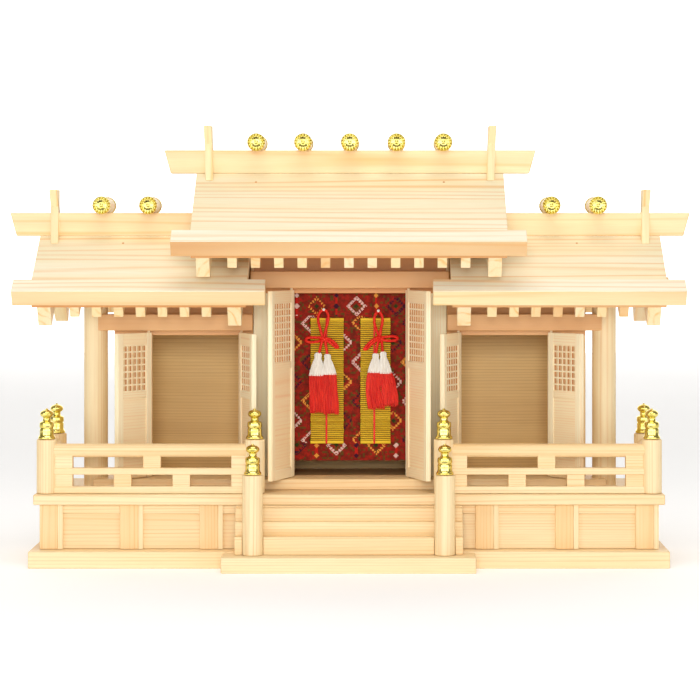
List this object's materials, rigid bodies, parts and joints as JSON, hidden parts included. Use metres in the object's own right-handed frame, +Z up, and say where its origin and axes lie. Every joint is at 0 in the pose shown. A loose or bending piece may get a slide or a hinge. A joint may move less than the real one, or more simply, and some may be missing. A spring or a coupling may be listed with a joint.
{
  "type": "household shrine",
  "caption": "Household shrine of pale wood with a raised centre bay, stepped gable roofs, hinged lattice doors, a railed podium with steps and turned metal caps.",
  "frame": {"origin": "under the middle of the whole shrine, at the bottom of its base board", "axes": "+Z up, the doors and steps face -Y, +X to the right of someone facing the doors"},
  "size_m": [0.6002, 0.2188, 0.3815],
  "materials": {
    "wood": "planed, bare",
    "roof_wood": "planed, bare",
    "door_wood": "planed, bare",
    "brass": "polished",
    "brocade": "woven brocade",
    "bamboo": "split bamboo slats",
    "silk": "twisted silk cord and fringe"
  },
  "bodies": {
    "root": {"back_wall": "wood", "base_board": "wood", "blind_left": "bamboo", "blind_right": "bamboo", "centre_beam": "wood", "centre_wall_left": "wood", "centre_wall_right": "wood", "column_left": "wood", "column_right": "wood", "curtain": "brocade", "deck": "wood", "finial_corner_left": "brass", "finial_corner_right": "brass", "finial_front_left": "brass", "finial_front_right": "brass", "finial_newel_left": "brass", "finial_newel_right": "brass", "finial_rear_left": "brass", "finial_rear_right": "brass", "front_newel_left": "wood", "front_newel_right": "wood", "front_wall_centre": "wood", "front_wall_left": "wood", "front_wall_right": "wood", "outer_wall_left": "wood", "outer_wall_right": "wood", "podium_back": "wood", "podium_front_left": "wood", "podium_front_right": "wood", "railing_left": "wood", "railing_right": "wood", "ridge_centre": "roof_wood", "ridge_left": "roof_wood", "ridge_right": "roof_wood", "roof_centre_back": "roof_wood", "roof_centre_front": "roof_wood", "roof_left_back": "roof_wood", "roof_left_front": "roof_wood", "roof_right_back": "roof_wood", "roof_right_front": "roof_wood", "side_beam_left": "wood", "side_beam_right": "wood", "sill": "wood", "stair_base": "wood", "steps": "wood", "tassel_left": "silk", "tassel_right": "silk"},
    "door_left_outer_leaf": {"door_left_outer": "door_wood"},
    "door_left_inner_leaf": {"door_left_inner": "door_wood"},
    "door_centre_left_leaf": {"door_centre_left": "door_wood"},
    "door_centre_right_leaf": {"door_centre_right": "door_wood"},
    "door_right_inner_leaf": {"door_right_inner": "door_wood"},
    "door_right_outer_leaf": {"door_right_outer": "door_wood"}
  },
  "joints": [
    {"name": "door_left_outer_hinge", "type": "hinge", "parent": "root", "child": "door_left_outer_leaf", "pos_m": [-0.1772, -0.00715, 0.1], "axis": [0, 0, -1], "range_deg": [-128.5, 16.5]},
    {"name": "door_left_inner_hinge", "type": "hinge", "parent": "root", "child": "door_left_inner_leaf", "pos_m": [-0.0954, -0.00715, 0.1], "axis": [0, 0, 1], "range_deg": [-108.5, 4]},
    {"name": "door_centre_left_hinge", "type": "hinge", "parent": "root", "child": "door_centre_left_leaf", "pos_m": [-0.0516, -0.00715, 0.1], "axis": [0, 0, -1], "range_deg": [-109, 0]},
    {"name": "door_centre_right_hinge", "type": "hinge", "parent": "root", "child": "door_centre_right_leaf", "pos_m": [0.0516, -0.00715, 0.1], "axis": [0, 0, 1], "range_deg": [-109, 0]},
    {"name": "door_right_inner_hinge", "type": "hinge", "parent": "root", "child": "door_right_inner_leaf", "pos_m": [0.0954, -0.00715, 0.1], "axis": [0, 0, -1], "range_deg": [-112, 1]},
    {"name": "door_right_outer_hinge", "type": "hinge", "parent": "root", "child": "door_right_outer_leaf", "pos_m": [0.1772, -0.00715, 0.1], "axis": [0, 0, 1], "range_deg": [-127, 18]}
  ]
}
